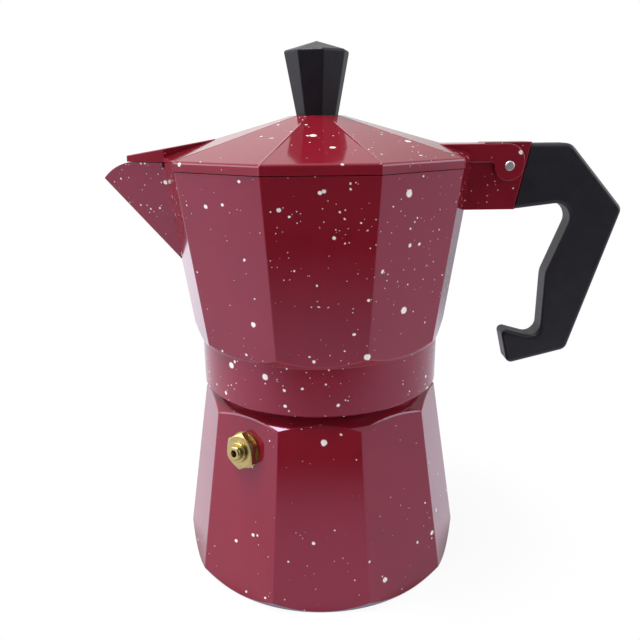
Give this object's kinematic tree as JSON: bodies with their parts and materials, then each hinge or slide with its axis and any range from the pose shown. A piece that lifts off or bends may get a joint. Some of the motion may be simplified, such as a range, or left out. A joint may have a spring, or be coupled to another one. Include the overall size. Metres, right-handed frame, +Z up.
{
  "type": "moka pot",
  "caption": "Faceted stove-top coffee maker: boiler with safety valve, coffee funnel, gasket and filter, screw-on jug with spout, side handle and hinged lid with knob.",
  "frame": {"origin": "centre of the boiler's flat foot, on the pot's upright axis", "axes": "+Z up along the pot's axis, -X towards the spout, +X towards the handle"},
  "size_m": [0.154, 0.0884, 0.1576],
  "materials": {
    "red_paint": "gloss crimson paint with random white speckles on cast aluminium, bare inside",
    "bare_aluminium": "bare, spun or pressed",
    "brass": "turned",
    "steel": "bright plated",
    "black_bakelite": "satin moulded",
    "seal_rubber": "matt"
  },
  "bodies": {
    "boiler": {"boiler": "red_paint", "valve_body": "brass", "valve_washer": "brass", "valve_cap": "brass", "valve_spring": "steel"},
    "valve_plunger": {"valve_plunger": "brass"},
    "funnel": {"coffee_funnel": "bare_aluminium", "funnel_plate": "bare_aluminium"},
    "gasket": {"gasket": "seal_rubber"},
    "filter": {"filter_plate": "bare_aluminium"},
    "collector": {"collector": "red_paint", "column": "bare_aluminium", "handle": "black_bakelite", "handle_screw": "steel", "hinge_pin": "steel"},
    "lid": {"lid": "red_paint", "knob": "black_bakelite", "knob_insert": "brass", "knob_washer": "steel", "knob_screw": "steel"}
  },
  "joints": [
    {"name": "valve_lift", "type": "slide", "parent": "boiler", "child": "valve_plunger", "axis": [-0.6007, -0.7857, 0.1474], "range_m": [0, 0.0015], "stiffness_N_per_m": 1000, "springref_m": -0.0018, "deforming": ["valve_spring"]},
    {"name": "funnel_lift", "type": "slide", "parent": "boiler", "child": "funnel", "axis": [0, 0, 1], "range_m": [0, 0.07]},
    {"name": "collector_lift", "type": "slide", "parent": "funnel", "child": "gasket", "axis": [0, 0, 1], "range_m": [0, 0.07]},
    {"name": "thread_rise", "type": "slide", "parent": "gasket", "child": "filter", "axis": [0, 0, 1], "range_m": [0, 0.0046]},
    {"name": "unscrew", "type": "hinge", "parent": "filter", "child": "collector", "pos_m": [0, 0, 0.0633], "axis": [0, 0, 1], "range_deg": [0, 540]},
    {"name": "lid_hinge", "type": "hinge", "parent": "collector", "child": "lid", "pos_m": [0.0555, 0, 0.12301], "axis": [0, 1, 0], "range_deg": [0, 95]}
  ],
  "couplings": [
    {"joint": "thread_rise", "follows": "unscrew", "m_per_rad": 0.00047746}
  ]
}
